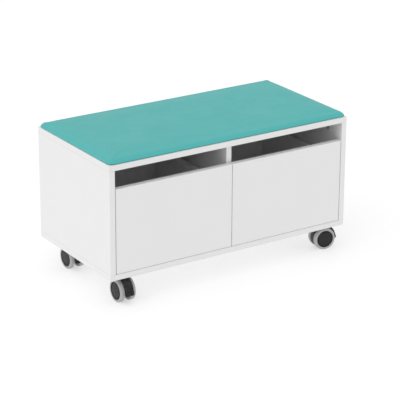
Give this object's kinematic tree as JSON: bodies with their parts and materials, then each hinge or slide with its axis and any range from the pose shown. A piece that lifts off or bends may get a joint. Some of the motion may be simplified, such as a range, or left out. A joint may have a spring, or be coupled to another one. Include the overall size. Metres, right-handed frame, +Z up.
{
  "type": "mobile drawer cabinet with padded seat",
  "caption": "Low mobile cabinet: side-by-side full-extension drawers with open hand slots, a padded seat on top, and swivel castors with foot brakes.",
  "frame": {"origin": "on the floor, under the middle of the cabinet", "axes": "+Z up, +X to the right seen from the front, +Y to the back, so the drawers open along -Y"},
  "size_m": [0.9069, 0.4576, 0.492],
  "materials": {
    "white_board": "smooth white melamine-faced board, satin",
    "raw_board": "plain plywood",
    "seat_cover": "matt teal upholstery vinyl over foam",
    "runner_steel": "zinc-plated rolled steel",
    "fixing_steel": "zinc-plated",
    "castor_body": "fine matt texture",
    "castor_pedal": "fine matt texture",
    "castor_tyre": "light grey soft thermoplastic rubber",
    "axle_steel": "bright turned"
  },
  "bodies": {
    "carcass": {"top_panel": "white_board", "bottom_panel": "white_board", "left_side_panel": "white_board", "right_side_panel": "white_board", "back_panel": "white_board", "centre_divider": "white_board", "carcass_cam_fittings": "fixing_steel", "seat_board": "raw_board", "seat_pad": "seat_cover", "seat_screws": "fixing_steel", "castor_plates": "axle_steel", "castor_kingpins": "axle_steel", "castor_plate_screws": "fixing_steel", "left_drawer_runner_channels": "runner_steel", "right_drawer_runner_channels": "runner_steel", "runner_channel_screws": "fixing_steel"},
    "left_drawer": {"left_drawer_front": "white_board", "left_drawer_left_side": "white_board", "left_drawer_right_side": "white_board", "left_drawer_back": "white_board", "left_drawer_floor": "white_board", "left_drawer_fixings": "fixing_steel", "left_drawer_runner_rails": "runner_steel"},
    "left_runner_slides": {"left_drawer_runner_slides": "runner_steel"},
    "right_drawer": {"right_drawer_front": "white_board", "right_drawer_left_side": "white_board", "right_drawer_right_side": "white_board", "right_drawer_back": "white_board", "right_drawer_floor": "white_board", "right_drawer_fixings": "fixing_steel", "right_drawer_runner_rails": "runner_steel"},
    "right_runner_slides": {"right_drawer_runner_slides": "runner_steel"},
    "front_left_castor_fork": {"front_left_castor_housing": "castor_body", "front_left_castor_axle": "axle_steel"},
    "front_left_brake": {"front_left_castor_brake_pedal": "castor_pedal"},
    "front_left_left_wheel": {"front_left_castor_left_hub": "castor_body", "front_left_castor_left_tyre": "castor_tyre"},
    "front_left_right_wheel": {"front_left_castor_right_hub": "castor_body", "front_left_castor_right_tyre": "castor_tyre"},
    "front_right_castor_fork": {"front_right_castor_housing": "castor_body", "front_right_castor_axle": "axle_steel"},
    "front_right_brake": {"front_right_castor_brake_pedal": "castor_pedal"},
    "front_right_left_wheel": {"front_right_castor_left_hub": "castor_body", "front_right_castor_left_tyre": "castor_tyre"},
    "front_right_right_wheel": {"front_right_castor_right_hub": "castor_body", "front_right_castor_right_tyre": "castor_tyre"},
    "back_left_castor_fork": {"back_left_castor_housing": "castor_body", "back_left_castor_axle": "axle_steel"},
    "back_left_brake": {"back_left_castor_brake_pedal": "castor_pedal"},
    "back_left_left_wheel": {"back_left_castor_left_hub": "castor_body", "back_left_castor_left_tyre": "castor_tyre"},
    "back_left_right_wheel": {"back_left_castor_right_hub": "castor_body", "back_left_castor_right_tyre": "castor_tyre"},
    "back_right_castor_fork": {"back_right_castor_housing": "castor_body", "back_right_castor_axle": "axle_steel"},
    "back_right_brake": {"back_right_castor_brake_pedal": "castor_pedal"},
    "back_right_left_wheel": {"back_right_castor_left_hub": "castor_body", "back_right_castor_left_tyre": "castor_tyre"},
    "back_right_right_wheel": {"back_right_castor_right_hub": "castor_body", "back_right_castor_right_tyre": "castor_tyre"}
  },
  "joints": [
    {"name": "left_drawer_slide", "type": "slide", "parent": "carcass", "child": "left_drawer", "axis": [0, -1, 0], "range_m": [0, 0.39]},
    {"name": "left_runner_slide", "type": "slide", "parent": "carcass", "child": "left_runner_slides", "axis": [0, -1, 0], "range_m": [0, 0.195]},
    {"name": "right_drawer_slide", "type": "slide", "parent": "carcass", "child": "right_drawer", "axis": [0, -1, 0], "range_m": [0, 0.39]},
    {"name": "right_runner_slide", "type": "slide", "parent": "carcass", "child": "right_runner_slides", "axis": [0, -1, 0], "range_m": [0, 0.195]},
    {"name": "front_left_castor_swivel", "type": "hinge", "parent": "carcass", "child": "front_left_castor_fork", "pos_m": [-0.3835, -0.16, 0.07], "axis": [0, 0, 1], "continuous": true},
    {"name": "front_left_left_wheel_spin", "type": "hinge", "parent": "front_left_castor_fork", "child": "front_left_left_wheel", "pos_m": [-0.38393, -0.1845, 0.0375], "axis": [0.9998, -0.0175, 0], "continuous": true},
    {"name": "front_left_right_wheel_spin", "type": "hinge", "parent": "front_left_castor_fork", "child": "front_left_right_wheel", "pos_m": [-0.38393, -0.1845, 0.0375], "axis": [0.9998, -0.0175, 0], "continuous": true},
    {"name": "front_left_brake_press", "type": "hinge", "parent": "front_left_castor_fork", "child": "front_left_brake", "pos_m": [-0.38403, -0.19049, 0.0475], "axis": [0.9998, -0.0175, 0], "range_deg": [0, 12]},
    {"name": "front_right_castor_swivel", "type": "hinge", "parent": "carcass", "child": "front_right_castor_fork", "pos_m": [0.3835, -0.16, 0.07], "axis": [0, 0, 1], "continuous": true},
    {"name": "front_right_left_wheel_spin", "type": "hinge", "parent": "front_right_castor_fork", "child": "front_right_left_wheel", "pos_m": [0.40763, -0.16425, 0.0375], "axis": [0.1736, 0.9848, 0], "continuous": true},
    {"name": "front_right_right_wheel_spin", "type": "hinge", "parent": "front_right_castor_fork", "child": "front_right_right_wheel", "pos_m": [0.40763, -0.16425, 0.0375], "axis": [0.1736, 0.9848, 0], "continuous": true},
    {"name": "front_right_brake_press", "type": "hinge", "parent": "front_right_castor_fork", "child": "front_right_brake", "pos_m": [0.41354, -0.1653, 0.0475], "axis": [0.1736, 0.9848, 0], "range_deg": [0, 12]},
    {"name": "back_left_castor_swivel", "type": "hinge", "parent": "carcass", "child": "back_left_castor_fork", "pos_m": [-0.3835, 0.16, 0.07], "axis": [0, 0, 1], "continuous": true},
    {"name": "back_left_left_wheel_spin", "type": "hinge", "parent": "back_left_castor_fork", "child": "back_left_left_wheel", "pos_m": [-0.3835, 0.1355, 0.0375], "axis": [1, 0, 0], "continuous": true},
    {"name": "back_left_right_wheel_spin", "type": "hinge", "parent": "back_left_castor_fork", "child": "back_left_right_wheel", "pos_m": [-0.3835, 0.1355, 0.0375], "axis": [1, 0, 0], "continuous": true},
    {"name": "back_left_brake_press", "type": "hinge", "parent": "back_left_castor_fork", "child": "back_left_brake", "pos_m": [-0.3835, 0.1295, 0.0475], "axis": [1, 0, 0], "range_deg": [0, 12]},
    {"name": "back_right_castor_swivel", "type": "hinge", "parent": "carcass", "child": "back_right_castor_fork", "pos_m": [0.3835, 0.16, 0.07], "axis": [0, 0, 1], "continuous": true},
    {"name": "back_right_left_wheel_spin", "type": "hinge", "parent": "back_right_castor_fork", "child": "back_right_left_wheel", "pos_m": [0.39925, 0.14123, 0.0375], "axis": [0.766, 0.6428, 0], "continuous": true},
    {"name": "back_right_right_wheel_spin", "type": "hinge", "parent": "back_right_castor_fork", "child": "back_right_right_wheel", "pos_m": [0.39925, 0.14123, 0.0375], "axis": [0.766, 0.6428, 0], "continuous": true},
    {"name": "back_right_brake_press", "type": "hinge", "parent": "back_right_castor_fork", "child": "back_right_brake", "pos_m": [0.4031, 0.13664, 0.0475], "axis": [0.766, 0.6428, 0], "range_deg": [0, 12]}
  ],
  "couplings": [
    {"joint": "left_runner_slide", "follows": "left_drawer_slide", "ratio": 0.5},
    {"joint": "right_runner_slide", "follows": "right_drawer_slide", "ratio": 0.5}
  ]
}
